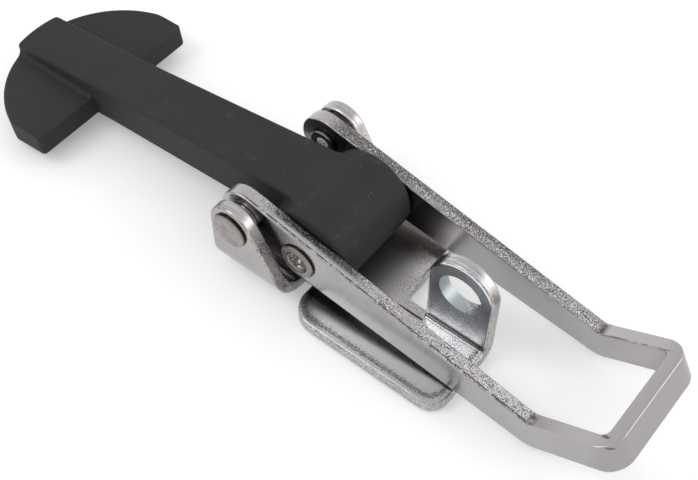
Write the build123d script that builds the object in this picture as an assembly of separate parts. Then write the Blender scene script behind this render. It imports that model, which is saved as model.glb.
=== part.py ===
from build123d import *
import math
import os

# Over-centre toggle latch with a moulded rubber T-draw, in millimetres.
# The origin is on the mounting plane, straight below the lever's pivot and midway between the ears.
# +X runs from the T-head towards the handle, +Y to the side without the padlock eye, +Z is up.

# Clearances
RUNNING_CLEARANCE = 0.06    # radial, a pin in the part that turns on it
SIDE_CLEARANCE = 0.2        # axial, between faces that turn past each other
BOSS_CLEARANCE = 0.5        # axial, between the strap's boss and each arm
REST_CLEARANCE = 0.3        # where the closed latch comes to rest or passes close by

# Base plate: one piece of sheet, folded into two ears and a padlock eye
SHEET = 4.2                 # thickness
PIVOT_HEIGHT = 22.4         # lever pivot above the mounting plane
EAR_RADIUS = 7.8            # round top of an ear, about the pivot
EAR_SLOPE = 61.0            # lean of the ear's front edge from level, degrees
EAR_FRONT = 17.5            # foot of that edge, ahead of the pivot
EAR_TOE_RADIUS = 1.6        # corner where the sloping edge meets the foot
EAR_FOLD_RADIUS = 6.0       # inside of the fold between floor and ear
FLANGE_START = 21.4         # rear edge of the side flanges
FLANGE_REACH = 28.1         # from the mid-plane to a flange's outer edge
FLANGE_REAR_RADIUS = 8.0    # plan corner beside the ear
FLANGE_FRONT_RADIUS = 6.0   # plan corner at the plate's front
NOTCH_RADIUS = 2.0          # flange's inner corner of the notch between flange and ear
PLATE_FRONT = 73.7          # front end of the strip that carries the eye
FLOOR_FRONT = 45.1          # front edge of the rest of the floor
FIXING_HOLE = 6.5           # hole diameter
FIXING_SPACING = 20.0       # between the hole centres, across the plate
FIXING_AHEAD = 2.0          # hole centres ahead of the pivot

# Padlock eye, turned up from the floor's near strip
EYE_REAR = 52.9             # rear side of the eye
EYE_TOP = 35.1              # crown above the mounting plane
EYE_FACE = 4.6              # from the mid-plane out to the eye's outer face
EYE_FOLD_RADIUS = 1.2       # inside of its fold
EYE_HOLE = 13.8             # hole diameter
EYE_HOLE_HEIGHT = 23.4      # hole centre above the mounting plane
RELIEF_RADIUS = 2.4         # floor's corner of the slot that frees the eye
RELIEF_REACH = 2.4          # how far the slot's end lies past the start of the eye's fold
FOLD_MARGIN = 0.6           # how far the notches run past the start of a fold
SHEET_EDGE = 0.8            # rounding of the sheet's cut edges

# Lever: one steel strip bent to a U on its edge, cranked up at the handle
STRIP = 4.5                 # thickness
LEVER_WIDTH = 40.0          # over the two arms
HUB_RADIUS = 8.5            # round end of an arm, about the pivot
KINK_REACH = 96.6           # pivot to crank along the arm's top edge
KINK_ANGLE = 40.0           # how far the handle turns up, degrees
KINK_RADIUS = 3.0           # of the crank along the top edge
HANDLE_LENGTH = 26.3        # crank to the outside of the crossbar
HANDLE_DEPTH = 9.5          # strip's width at the crank and handle
ARM_DEPTH = 15.7            # strip's width where the arm is deepest
ARM_DEEPEST = 31.0          # that place, ahead of the pivot
CORNER_RADIUS = 2.2         # inside of the crossbar's bends
STRIP_EDGE = 0.5            # rounding of the strip's long edges

# Pins, washers and the swing joint of the strap
PIVOT_SHANK = 6.5           # rivet diameter
PIVOT_HEAD = 11.5           # flat head outside the ear
PIVOT_HEAD_HEIGHT = 1.0
PIVOT_PEEN = 9.2            # closed end inside the arm
PIVOT_PEEN_HEIGHT = 1.0
PIVOT_DISH = 4.6            # hollow that the closing tool leaves in that end
WASHER_DIAMETER = 10.0
WASHER_THICKNESS = 1.7
DRAW_PIN_AHEAD = 20.0       # draw pin from the pivot, along the arm
DRAW_PIN_DROP = 0.6         # and below the pivot, across the arm
DRAW_PIN_BODY = 10.0        # diameter between the arms
DRAW_PIN_END = 8.0          # diameter through an arm
DRAW_PIN_PEEN = 11.5        # closed end outside an arm
DRAW_PIN_PEEN_HEIGHT = 0.9
DRAW_PIN_DISH = 6.2         # hollow in a closed end
DISH_DEPTH = 0.4
PIN_EDGE = 0.35             # bevel round the rims

# Rubber T-draw
SHAFT_WIDTH = 17.6          # of the shaft at the head
SHAFT_ROOT_WIDTH = 22.0     # to which it widens at the draw pin
SHAFT_ABOVE = 12.6          # top above the draw pin's centre
SHAFT_BELOW = 1.1           # underside below it
HEAD_REACH = 94.5           # draw pin to the faces that hook behind the keeper
KEEPER_ROOM = 8.0           # how far ahead of those faces the shaft's sides stay parallel
HEAD_SETBACK = 1.8          # from those faces back to the centre of the head's arc
HEAD_RADIUS = 33.7          # arc of the D-shaped head
TIP_FLAT = 1.9              # how much the flat at a wing's tip takes off the arc
HEAD_THICKNESS = 7.3        # of the wings at those faces
NOSE_THICKNESS = 10.6       # and at the rear of the head
TIP_RADIUS = 1.5            # plan corner between tip and bearing face
STEP_FILLET = 1.6           # between a wing and the side of the shaft
BOSS_FILLET = 2.0           # between the boss and the sides of the shaft
HEAD_EDGE = 1.5             # wings' curved top edges and the upright corners of the shaft's end
RUBBER_EDGE = 1.2           # shaft's top edges, boss ends and the underside

# Places worked out from the sizes above
arm_outer = LEVER_WIDTH / 2
arm_inner = arm_outer - STRIP
ear_inner = arm_outer + SIDE_CLEARANCE + WASHER_THICKNESS
ear_outer = ear_inner + SHEET
kink_low = KINK_REACH + HANDLE_DEPTH * math.tan(math.radians(KINK_ANGLE / 2))
ear_fold_start = ear_inner - EAR_FOLD_RADIUS
eye_width = PLATE_FRONT - EYE_REAR
eye_middle = EYE_REAR + eye_width / 2
eye_fold_start = -EYE_FACE - EYE_FOLD_RADIUS
clear_of_fold = eye_fold_start - FOLD_MARGIN
relief_end = eye_fold_start + RELIEF_REACH
notch_end = ear_fold_start - FOLD_MARGIN
boss_width = 2 * (arm_inner - BOSS_CLEARANCE)
head_centre = HEAD_REACH + HEAD_SETBACK
head_rear = head_centre + HEAD_RADIUS
head_half_width = HEAD_RADIUS - TIP_FLAT
slim_side = SHAFT_WIDTH / 2
wide_side = SHAFT_ROOT_WIDTH / 2


def closed_tilt():
    """Degrees that the closed lever leans forward, its arms just clear of the plate's front end."""
    taper = math.atan2(ARM_DEPTH - HANDLE_DEPTH, kink_low - ARM_DEEPEST)
    edge_offset = ARM_DEEPEST * math.sin(taper) + (ARM_DEPTH - HUB_RADIUS) * math.cos(taper)
    stop_distance = math.hypot(PLATE_FRONT, PIVOT_HEIGHT - SHEET)
    stop_angle = math.atan2(PIVOT_HEIGHT - SHEET, PLATE_FRONT)
    edge_angle = math.asin((edge_offset + REST_CLEARANCE) / stop_distance)
    return math.degrees(taper - edge_angle + stop_angle)


tilt = closed_tilt()
lever_place = Location((0, 0, PIVOT_HEIGHT), (0, tilt, 0))
draw_pin_centre = (lever_place * Location((DRAW_PIN_AHEAD, 0, -DRAW_PIN_DROP))).position
boss_radius = draw_pin_centre.Z - SHEET - REST_CLEARANCE


def strap_droop():
    """Degrees that the strap slopes down from the draw pin to a head lying on the mounting plane."""
    drop = math.asin((draw_pin_centre.Z - REST_CLEARANCE) / math.hypot(head_rear, SHAFT_BELOW))
    return math.degrees(drop - math.atan2(SHAFT_BELOW, head_rear))


strap_place = Location(draw_pin_centre, (0, -strap_droop(), 0))


def nearest(shape, x, y):
    """The corner of a flat shape that is nearest to a place."""
    return shape.vertices().sort_by_distance(Vector(x, y, 0))[0]


def slot(rear, front, inner, outer):
    """A rectangle from rear to front and from inner to outer, to cut from a plan."""
    return Pos((rear + front) / 2, (inner + outer) / 2) * Rectangle(front - rear, abs(outer - inner))


def cross_bore(diameter, ahead, height):
    """A round hole across the whole latch, along Y."""
    return Pos(ahead, 0, height) * Rot(90, 0, 0) * Cylinder(diameter / 2, 3 * LEVER_WIDTH)


def fold_section(inside_face, inside_radius, start, top):
    """Section of sheet that lies flat from start and turns up with its inside face at inside_face."""
    outside_face = inside_face + SHEET
    section = Polygon(
        (start, 0), (outside_face, 0), (outside_face, top), (inside_face, top), (inside_face, SHEET),
        (start, SHEET), align=None)
    section = fillet(nearest(section, outside_face, 0), inside_radius + SHEET)
    return fillet(nearest(section, inside_face, SHEET), inside_radius)


def ear_outline():
    """Side view of an ear: a round top about the pivot and a front edge that slopes to the foot."""
    lean = math.radians(90 - EAR_SLOPE)
    round_end = (EAR_RADIUS * math.cos(lean), PIVOT_HEIGHT + EAR_RADIUS * math.sin(lean))
    toe_height = round_end[1] - (EAR_FRONT - round_end[0]) * math.tan(math.radians(EAR_SLOPE))
    crown = CenterArc((0, PIVOT_HEIGHT), EAR_RADIUS, 90 - EAR_SLOPE, 90 + EAR_SLOPE)
    rest = Polyline(
        (-EAR_RADIUS, PIVOT_HEIGHT), (-EAR_RADIUS, 0), (EAR_FRONT, 0), (EAR_FRONT, toe_height), round_end)
    outline = make_face([crown, *rest.edges()])
    return fillet(nearest(outline, EAR_FRONT, toe_height), EAR_TOE_RADIUS)


def channel():
    """Rear of the base: the floor between the ears, the two folds and the ears."""
    section = fold_section(ear_inner, EAR_FOLD_RADIUS, 0, PIVOT_HEIGHT + EAR_RADIUS)
    half = extrude(Plane.YZ.offset(-EAR_RADIUS) * section, EAR_RADIUS + EAR_FRONT)
    side_view = extrude(Plane.XZ * ear_outline(), ear_outer, both=True)
    half = half & side_view
    return half + mirror(half, Plane.XZ)


def flat_outline():
    """Plan of the flat sheet ahead of the ears, with both flanges and the strip that carries the eye."""
    floor = Pos(FLOOR_FRONT / 2, 0) * Rectangle(FLOOR_FRONT, 2 * ear_fold_start)
    far_length = FLOOR_FRONT - FLANGE_START
    far = Pos(FLANGE_START + far_length / 2, FLANGE_REACH / 2) * Rectangle(far_length, FLANGE_REACH)
    strip_length = PLATE_FRONT - FLANGE_START
    strip_width = FLANGE_REACH + eye_fold_start
    strip_middle = (eye_fold_start - FLANGE_REACH) / 2
    strip = Pos(FLANGE_START + strip_length / 2, strip_middle) * Rectangle(strip_length, strip_width)
    outline = floor + far + strip - slot(FLOOR_FRONT, EYE_REAR, clear_of_fold, -clear_of_fold)
    for side, front in ((1, FLOOR_FRONT), (-1, PLATE_FRONT)):
        outline -= slot(EAR_FRONT, FLANGE_START, side * notch_end, side * FLANGE_REACH)
        outline = fillet(nearest(outline, FLANGE_START, side * FLANGE_REACH), FLANGE_REAR_RADIUS)
        outline = fillet(nearest(outline, front, side * FLANGE_REACH), FLANGE_FRONT_RADIUS)
        outline = fillet(nearest(outline, FLANGE_START, side * notch_end), NOTCH_RADIUS)
        outline = fillet(nearest(outline, EAR_FRONT, side * notch_end), FOLD_MARGIN / 2)
    return outline


def relief_web():
    """Sheet beside the eye's fold, where the slot that frees the eye ends with a rounded corner."""
    web = slot(FLOOR_FRONT - SHEET_EDGE, EYE_REAR + SHEET_EDGE, clear_of_fold, relief_end)
    round_end = FLOOR_FRONT + RELIEF_RADIUS
    round_side = relief_end + RELIEF_RADIUS
    web += slot(FLOOR_FRONT - SHEET_EDGE, round_end, relief_end, round_side)
    return extrude(web - Pos(round_end, round_side) * Circle(RELIEF_RADIUS), SHEET)


def padlock_eye():
    """The eye: a tongue folded up from the near strip, round at the top."""
    section = fold_section(-EYE_FACE, EYE_FOLD_RADIUS, eye_fold_start, EYE_TOP)
    tongue = extrude(Plane.YZ.offset(EYE_REAR) * section, eye_width)
    crown_height = EYE_TOP - eye_width / 2
    front_view = Pos(eye_middle, crown_height / 2) * Rectangle(eye_width, crown_height)
    front_view += Pos(eye_middle, crown_height) * Circle(eye_width / 2)
    return tongue & extrude(Plane.XZ * front_view, FLANGE_REACH, both=True)


def is_rolled(face):
    """Whether a face of the base is the sheet's own surface or a fold, and not a cut edge."""
    if face.geom_type == GeomType.CYLINDER:
        return abs(face.axis_of_rotation.direction.X) > 0.99
    across = face.center().Y
    upright = (ear_inner, ear_outer, -ear_inner, -ear_outer, -EYE_FACE, SHEET - EYE_FACE)
    return abs(face.normal_at().Z) > 0.99 or any(abs(across - level) < 0.01 for level in upright)


def base_plate():
    """The folded base plate, its cut edges rounded and its holes left crisp."""
    plate = channel() + extrude(flat_outline(), SHEET) + padlock_eye()
    rolled = [face for face in plate.faces() if is_rolled(face)]
    cut = [face for face in plate.faces() if not is_rolled(face)]
    rolled_edges = {edge for face in rolled for edge in face.edges()}
    cut_edges = {edge for face in cut for edge in face.edges()}
    plate = fillet(rolled_edges & cut_edges, SHEET_EDGE) + relief_web()
    plate -= cross_bore(PIVOT_SHANK, 0, PIVOT_HEIGHT)
    plate -= Pos(eye_middle, -EYE_FACE, EYE_HOLE_HEIGHT) * Rot(90, 0, 0) * Cylinder(EYE_HOLE / 2, 3 * SHEET)
    for side in (-1, 1):
        plate -= Pos(FIXING_AHEAD, side * FIXING_SPACING / 2) * Cylinder(FIXING_HOLE / 2, 3 * SHEET)
    return plate


def arm_outline():
    """Side view of the lever: round hub, tapering arm, crank and handle."""
    rise = math.radians(KINK_ANGLE)
    top_end = (
        KINK_REACH + HANDLE_LENGTH * math.cos(rise), HUB_RADIUS + HANDLE_LENGTH * math.sin(rise))
    low_end = (
        top_end[0] + HANDLE_DEPTH * math.sin(rise), top_end[1] - HANDLE_DEPTH * math.cos(rise))
    deepest = (ARM_DEEPEST, HUB_RADIUS - ARM_DEPTH)
    deepest_angle = math.atan2(deepest[1], deepest[0])
    tangent_angle = deepest_angle - math.acos(HUB_RADIUS / math.hypot(*deepest))
    tangent_point = (HUB_RADIUS * math.cos(tangent_angle), HUB_RADIUS * math.sin(tangent_angle))
    hub = CenterArc((0, 0), HUB_RADIUS, 90, 270 + math.degrees(tangent_angle))
    rest = Polyline(
        tangent_point, deepest, (kink_low, HUB_RADIUS - HANDLE_DEPTH), low_end, top_end,
        (KINK_REACH, HUB_RADIUS), (0, HUB_RADIUS))
    outline = make_face([hub, *rest.edges()])
    outline = fillet(nearest(outline, KINK_REACH, HUB_RADIUS), KINK_RADIUS)
    return fillet(nearest(outline, kink_low, HUB_RADIUS - HANDLE_DEPTH), KINK_RADIUS + HANDLE_DEPTH / 2)


def lever():
    """The lever, with its pivot at the origin and its arms level."""
    length = 2 * KINK_REACH
    outside = Pos(HANDLE_LENGTH - length / 2, 0) * Rectangle(length, LEVER_WIDTH)
    outside = fillet(outside.vertices().group_by(Axis.X)[-1], CORNER_RADIUS + STRIP)
    inside = Pos(HANDLE_LENGTH - STRIP - length / 2, 0) * Rectangle(length, 2 * arm_inner)
    inside = fillet(inside.vertices().group_by(Axis.X)[-1], CORNER_RADIUS)
    handle_plane = Location((KINK_REACH, 0, HUB_RADIUS), (0, -KINK_ANGLE, 0))
    bent_strip = handle_plane * extrude(outside - inside, length, both=True)
    body = bent_strip & extrude(Plane.XZ * arm_outline(), LEVER_WIDTH, both=True)
    body = fillet(body.edges(), STRIP_EDGE)
    body -= cross_bore(PIVOT_SHANK + 2 * RUNNING_CLEARANCE, 0, 0)
    return body - cross_bore(DRAW_PIN_END, DRAW_PIN_AHEAD, -DRAW_PIN_DROP)


def turned(profile):
    """A solid of revolution about Y, from (radius, y) corners."""
    return revolve(Polygon(*profile, align=None), Axis.Y)


def closed_end(diameter, dish, height):
    """(radius, height) corners of a rivet's closed end, from its foot to the middle of its dish."""
    rim = diameter / 2
    floor = height - DISH_DEPTH
    return (
        (rim, 0), (rim, height - PIN_EDGE), (rim - PIN_EDGE, height), (dish / 2 + DISH_DEPTH, height),
        (dish / 2, floor), (0, floor))


def pivot_rivet():
    """The far rivet: flat head outside the ear, shank, and the end closed inside the arm."""
    shank = PIVOT_SHANK / 2
    rim = PIVOT_HEAD / 2
    peen_start = arm_inner - SIDE_CLEARANCE
    head_end = ear_outer + PIVOT_HEAD_HEIGHT
    inside = [(r, peen_start - h) for r, h in closed_end(PIVOT_PEEN, PIVOT_DISH, PIVOT_PEEN_HEIGHT)]
    return turned((
        *reversed(inside), (shank, peen_start), (shank, ear_outer), (rim, ear_outer),
        (rim, head_end - PIN_EDGE), (rim - PIN_EDGE, head_end), (0, head_end)))


def spacer_washer():
    """The far washer, between ear and arm."""
    hole = PIVOT_SHANK / 2 + RUNNING_CLEARANCE
    rim = WASHER_DIAMETER / 2
    seat = ear_inner - WASHER_THICKNESS
    return turned(((hole, seat), (rim, seat), (rim, ear_inner), (hole, ear_inner)))


def draw_pin():
    """The shouldered pin between the arms, closed outside both."""
    body = DRAW_PIN_BODY / 2
    end = DRAW_PIN_END / 2
    tip = [(r, arm_outer + h) for r, h in closed_end(DRAW_PIN_PEEN, DRAW_PIN_DISH, DRAW_PIN_PEEN_HEIGHT)]
    half = turned(((0, 0), (body, 0), (body, arm_inner), (end, arm_inner), (end, arm_outer), *tip))
    return half + mirror(half, Plane.XZ)


def edges_between(body, low, high):
    """Edges whose centres lie in a box from low to high; Y counts as distance from the mid-plane."""
    found = []
    for edge in body.edges():
        middle = edge.center()
        place = (middle.X, abs(middle.Y), middle.Z)
        if all(a - 0.01 <= value <= b + 0.01 for a, value, b in zip(low, place, high)):
            found.append(edge)
    return found


def moulded(body):
    """The strap's blank with its inner corners filled and its outer edges softened."""
    boss = boss_width / 2
    crease = -math.sqrt(boss_radius ** 2 - SHAFT_ABOVE ** 2)
    wing_top = HEAD_THICKNESS - SHAFT_BELOW
    nose_top = NOSE_THICKNESS - SHAFT_BELOW
    ahead = -HEAD_REACH / 3
    softened = (
        (BOSS_FILLET, (-boss_radius, slim_side, -SHAFT_BELOW), (crease, wide_side, SHAFT_ABOVE)),
        (STEP_FILLET, (-head_rear, slim_side, wing_top), (-HEAD_REACH, wide_side, nose_top)),
        (HEAD_EDGE, (-head_rear, slim_side, nose_top), (-head_centre, wide_side, SHAFT_ABOVE - RUBBER_EDGE)),
        (RUBBER_EDGE, (-head_rear, 0, SHAFT_ABOVE), (ahead, wide_side, SHAFT_ABOVE)),
        (RUBBER_EDGE, (-boss_radius, boss, -boss_radius), (boss_radius, boss, boss_radius)),
        (RUBBER_EDGE, (-head_rear, 0, -SHAFT_BELOW), (ahead, head_half_width, -SHAFT_BELOW)),
    )
    for radius, low, high in softened:
        body = fillet(edges_between(body, low, high), radius)
    return body


def head():
    """The D-shaped head, its wings thicker towards the nose."""
    length = head_rear - HEAD_REACH
    plan = Pos(-HEAD_REACH - length / 2, 0) * Rectangle(length, 2 * head_half_width)
    plan &= Pos(-head_centre, 0) * Circle(HEAD_RADIUS)
    for side in (-1, 1):
        plan = fillet(nearest(plan, -HEAD_REACH, side * head_half_width), TIP_RADIUS)
    side_view = Polygon(
        (-HEAD_REACH, 0), (-HEAD_REACH, HEAD_THICKNESS), (-head_rear, NOSE_THICKNESS), (-head_rear, 0),
        align=None)
    wings = extrude(plan, NOSE_THICKNESS) & extrude(Plane.XZ * side_view, head_half_width, both=True)
    return Pos(0, 0, -SHAFT_BELOW) * wings


def rubber_draw():
    """The strap, with the draw pin's centre at the origin and its shaft level, head towards -X."""
    taper_end = KEEPER_ROOM - HEAD_REACH
    plan = slot(-head_rear, taper_end, -slim_side, slim_side)
    plan &= Pos(-head_centre, 0) * Circle(HEAD_RADIUS) + slot(-head_centre, taper_end, -slim_side, slim_side)
    plan += Polygon(
        (0, -wide_side), (0, wide_side), (taper_end, slim_side), (taper_end, -slim_side), align=None)
    body = Pos(0, 0, -SHAFT_BELOW) * extrude(plan, SHAFT_BELOW + SHAFT_ABOVE) + head()
    body += Rot(90, 0, 0) * Cylinder(boss_radius, boss_width)
    return moulded(body) - cross_bore(DRAW_PIN_BODY + 2 * RUNNING_CLEARANCE, 0, 0)


far_rivet = Pos(0, 0, PIVOT_HEIGHT) * pivot_rivet()
far_washer = Pos(0, 0, PIVOT_HEIGHT) * spacer_washer()
nodes = {
    "base_plate": base_plate(),
    "pivot_rivet_near": mirror(far_rivet, Plane.XZ),
    "pivot_rivet_far": far_rivet,
    "spacer_washer_near": mirror(far_washer, Plane.XZ),
    "spacer_washer_far": far_washer,
    "lever": lever_place * lever(),
    "draw_pin": lever_place * Pos(DRAW_PIN_AHEAD, 0, -DRAW_PIN_DROP) * draw_pin(),
    "rubber_draw": strap_place * rubber_draw(),
}

os.makedirs("parts", exist_ok=True)
for name, solid in nodes.items():
    export_step(solid, f"parts/{name}.step")
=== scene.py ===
"""Finishes, small details, stage and camera for the rubber T-draw toggle latch."""

from __future__ import annotations

import logging
import math
from dataclasses import dataclass, field
from enum import Enum
from functools import partial, reduce

import bmesh
import bpy
from mathutils import Matrix, Vector, noise

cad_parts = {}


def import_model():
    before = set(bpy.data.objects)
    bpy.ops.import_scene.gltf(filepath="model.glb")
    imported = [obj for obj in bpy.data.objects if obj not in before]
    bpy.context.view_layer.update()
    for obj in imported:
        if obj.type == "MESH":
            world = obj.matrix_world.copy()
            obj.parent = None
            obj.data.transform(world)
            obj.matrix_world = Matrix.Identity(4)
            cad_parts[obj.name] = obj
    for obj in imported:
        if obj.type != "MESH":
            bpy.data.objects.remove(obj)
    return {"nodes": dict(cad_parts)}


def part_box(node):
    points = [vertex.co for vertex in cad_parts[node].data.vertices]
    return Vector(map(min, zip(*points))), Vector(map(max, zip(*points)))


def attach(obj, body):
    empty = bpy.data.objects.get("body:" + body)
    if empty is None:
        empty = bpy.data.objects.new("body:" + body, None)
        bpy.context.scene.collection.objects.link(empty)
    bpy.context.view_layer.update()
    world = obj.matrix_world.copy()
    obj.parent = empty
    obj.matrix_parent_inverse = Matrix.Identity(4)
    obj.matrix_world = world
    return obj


log = logging.getLogger("toggle_latch")

Socket = bpy.types.NodeSocket
Input = Socket | float | tuple[float, ...]
Colour = tuple[float, float, float, float]
Triple = tuple[float, float, float]
Pair = tuple[float, float]
Span = Pair
Object = bpy.types.Object
Material = bpy.types.Material
Nodes = dict[str, Object]

MM = 0.001
EVEN: Triple = (1.0, 1.0, 1.0)
ABOUT_Y: Triple = (1.0, 0.0, 1.0)
METAL = 1.0
NOISE_MIDDLE = 0.5
RIM_GAIN = 4.0  # a mask times its inverse is at most a quarter
FLANGE_TOP: Span = (6.0, 4.5)
EYE_BACK: Span = (48.0, 52.0)


class Body(Enum):
    """The moving bodies of the latch."""

    BASE = "base"
    LEVER = "lever"
    STRAP = "strap"


class Slot(Enum):
    """The record's material slots."""

    BASE = "zinc_base"
    LEVER = "zinc_lever"
    PINS = "zinc_pins"
    WASHERS = "zinc_washers"
    RUBBER = "rubber"


class Side(Enum):
    """The two sides of the latch, with the sign that each has along Y."""

    NEAR = -1
    FAR = 1


class Axis(Enum):
    """Components of a vector socket."""

    X = 0
    Y = 1
    Z = 2


class Graph:
    """Short names for the shader nodes that the finishes are made of."""

    def __init__(self, name: str, world: bool = False) -> None:
        """Starts an empty material or world.

        Args:
            name: its name.
            world: whether it is a world.
        """
        self.owner = (bpy.data.worlds if world else bpy.data.materials).new(name)
        self.owner.use_nodes = True
        self.nodes = self.owner.node_tree.nodes
        self.nodes.clear()
        self.end = self.node("OutputWorld" if world else "OutputMaterial", {}).inputs[0]
        self.coordinates = self.node("TexCoord", {}).outputs
        self.place, self.facing = self.coordinates["Object"], self.coordinates["Normal"]

    def feed(self, socket: Socket, value: Input) -> None:
        """Links a socket to another, or sets its value.

        Args:
            socket: the input to feed.
            value: another node's output, a number or a colour.
        """
        if isinstance(value, Socket):
            self.owner.node_tree.links.new(value, socket)
        else:
            socket.default_value = value

    def node(self, kind: str, inputs: dict[int | str, Input], **settings: str | bool) -> bpy.types.Node:
        """A new node, set and fed.

        Args:
            kind: its type, without the ShaderNode in front.
            inputs: what goes into its sockets, by name or number.
            settings: its own settings by name.

        Returns:
            The node.
        """
        node = self.nodes.new("ShaderNode" + kind)
        for name, value in settings.items():
            setattr(node, name, value)
        for socket, value in inputs.items():
            self.feed(node.inputs[socket], value)
        return node

    def math(self, operation: str, first: Input, second: Input = 0.0, clamp: bool = False) -> Socket:
        """The result of one Math node, kept between 0 and 1 where it is clamped."""
        return self.node("Math", {0: first, 1: second}, operation=operation, use_clamp=clamp).outputs[0]

    def times(self, *factors: Input) -> Socket:
        """The product of several values."""
        return reduce(partial(self.math, "MULTIPLY"), factors)

    def plus(self, *terms: Input) -> Socket:
        """The sum of several values."""
        return reduce(partial(self.math, "ADD"), terms)

    def most(self, *values: Input) -> Socket:
        """The greatest of several values."""
        return reduce(partial(self.math, "MAXIMUM"), values)

    def minus(self, first: Input, second: Input) -> Socket:
        """One value less another."""
        return self.math("SUBTRACT", first, second)

    def inverse(self, mask: Socket) -> Socket:
        """What a mask leaves free."""
        return self.minus(1.0, mask)

    def part(self, vector: Socket, axis: Axis) -> Socket:
        """One component of a vector."""
        return self.node("SeparateXYZ", {0: vector}).outputs[axis.value]

    def size_of(self, vector: Socket, axis: Axis) -> Socket:
        """The absolute value of one component of a vector."""
        return self.math("ABSOLUTE", self.part(vector, axis))

    def rise(self, value: Input, span: Span) -> Socket:
        """A smooth step of a value, 0 at the span's first end and 1 at its second."""
        inputs = {"Value": value, "From Min": span[0], "From Max": span[1]}
        return self.node("MapRange", inputs, interpolation_type="SMOOTHSTEP").outputs["Result"]

    def tilt(self, axis: Axis, span: Span) -> Socket:
        """A smooth step of how squarely the surface faces either way along an axis."""
        return self.rise(self.size_of(self.facing, axis), span)

    def reach(self, length: Socket, span: Span) -> Socket:
        """A smooth step of a length in metres, with its span in millimetres."""
        return self.rise(length, (span[0] * MM, span[1] * MM))

    def moved(self, offset: Vector, turn: float, stretch: Triple) -> Socket:
        """Object coordinates set off from a place and turned about Y.

        Args:
            offset: the place that becomes the origin, in metres.
            turn: angle about Y in radians.
            stretch: scale of each axis after the turn.

        Returns:
            The new coordinates.
        """
        shifted = self.node("VectorMath", {0: self.place, 1: offset}, operation="SUBTRACT").outputs[0]
        inputs = {"Vector": shifted, "Rotation": (0, turn, 0), "Scale": stretch}
        return self.node("Mapping", inputs).outputs[0]

    def distance(self, centre: Triple, stretch: Triple, turn: float = 0.0) -> Socket:
        """Metres from a place in millimetres, after a turn about Y and a scale of each axis."""
        away = self.moved(Vector(centre) * MM, turn, stretch)
        return self.node("VectorMath", {0: away}, operation="LENGTH").outputs["Value"]

    def cells(self, scale: float) -> Socket:
        """Distance to the nearest of some random points, so many of them per metre."""
        return self.node("TexVoronoi", {"Vector": self.place, "Scale": scale}).outputs["Distance"]

    def blend(self, amount: Input, first: Input, second: Input) -> Socket:
        """A mix of two colours."""
        return self.node("Mix", {0: amount, 6: first, 7: second}, data_type="RGBA").outputs[2]

    def mix(self, amount: Input, first: Input, second: Input) -> Socket:
        """A mix of two numbers."""
        return self.node("Mix", {0: amount, 2: first, 3: second}).outputs[0]

    def bump(self, height: Socket, depth: float, strength: Input, under: Socket | None = None) -> Socket:
        """Relief from a height.

        Args:
            height: between 0 and 1.
            depth: millimetres that a height of 1 stands for.
            strength: how much of the relief shows.
            under: normal of a coarser relief that this one lies on.

        Returns:
            The bent normal.
        """
        inputs = {"Distance": depth * MM, "Strength": strength, "Height": height}
        if under is not None:
            inputs["Normal"] = under
        return self.node("Bump", inputs).outputs[0]

    def surface(
            self, colour: Input, roughness: Input, normal: Socket, metallic: float,
            specular: float = 0.5) -> Material:
        """Ends the material in a Principled shader.

        Args:
            colour: base colour.
            roughness: how matte it is.
            normal: the surface's normal.
            metallic: 1 for bare or plated metal.
            specular: specular level of a surface that isn't metal.

        Returns:
            The material.
        """
        inputs = {
            "Base Color": colour, "Roughness": roughness, "Normal": normal, "Metallic": metallic,
            "Specular IOR Level": specular}
        self.feed(self.end, self.node("BsdfPrincipled", inputs).outputs[0])
        return self.owner


@dataclass(frozen=True)
class Grain:
    """Fractal noise: cells per metre, octaves, strength of the finer ones, stretch, and turn about Y."""

    scale: float
    detail: float = 2.0
    rough: float = 0.5
    stretch: Triple = EVEN
    turn: float = 0.0

    def height(self, graph: Graph) -> Socket:
        """The noise itself.

        Args:
            graph: the material's nodes.

        Returns:
            A value round 0.5.
        """
        plain = (self.stretch, self.turn) == (EVEN, 0.0)
        at = graph.place if plain else graph.moved(Vector(), self.turn, self.stretch)
        inputs = {"Vector": at, "Scale": self.scale, "Detail": self.detail, "Roughness": self.rough}
        return graph.node("TexNoise", inputs).outputs["Fac"]


@dataclass(frozen=True)
class Mottle(Grain):
    """Soft-edged patches of a grain: the heights where they are still 0 and where they are full."""

    edge: Span = (0.4, 0.6)

    def mask(self, graph: Graph) -> Socket:
        """The patches as a mask."""
        return graph.rise(self.height(graph), self.edge)


@dataclass(frozen=True)
class Relief(Grain):
    """A grain as relief: its depth in millimetres, and how much of it shows."""

    depth: float = 0.1
    strength: float = 0.4

    def normal(self, graph: Graph, under: Socket | None = None) -> Socket:
        """The bent normal, on that of a coarser relief if there is one."""
        return graph.bump(self.height(graph), self.depth, self.strength, under)


@dataclass(frozen=True)
class Zone:
    """A soft-edged box in the latch's frame, in millimetres.

    Each edge is a span from where the zone is still 0 to where it is full. Back and front lie along X,
    near and far along Y, bottom and top along Z, and inner and outer on both sides of the middle plane.
    A side whose edge isn't given is open.
    """

    back: Span | None = None
    front: Span | None = None
    near: Span | None = None
    far: Span | None = None
    bottom: Span | None = None
    top: Span | None = None
    inner: Span | None = None
    outer: Span | None = None
    strength: float = 1.0

    def mask(self, graph: Graph) -> Socket:
        """The zone as a mask.

        Args:
            graph: the material's nodes.

        Returns:
            The zone's strength inside it and 0 outside.
        """
        edges = (
            (Axis.X, self.back), (Axis.X, self.front), (Axis.Y, self.near), (Axis.Y, self.far),
            (Axis.Z, self.bottom), (Axis.Z, self.top))
        steps = [graph.reach(graph.part(graph.place, axis), edge) for axis, edge in edges if edge]
        for edge in filter(None, (self.inner, self.outer)):
            steps.append(graph.reach(graph.size_of(graph.place, Axis.Y), edge))
        return graph.times(*steps, self.strength)


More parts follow.
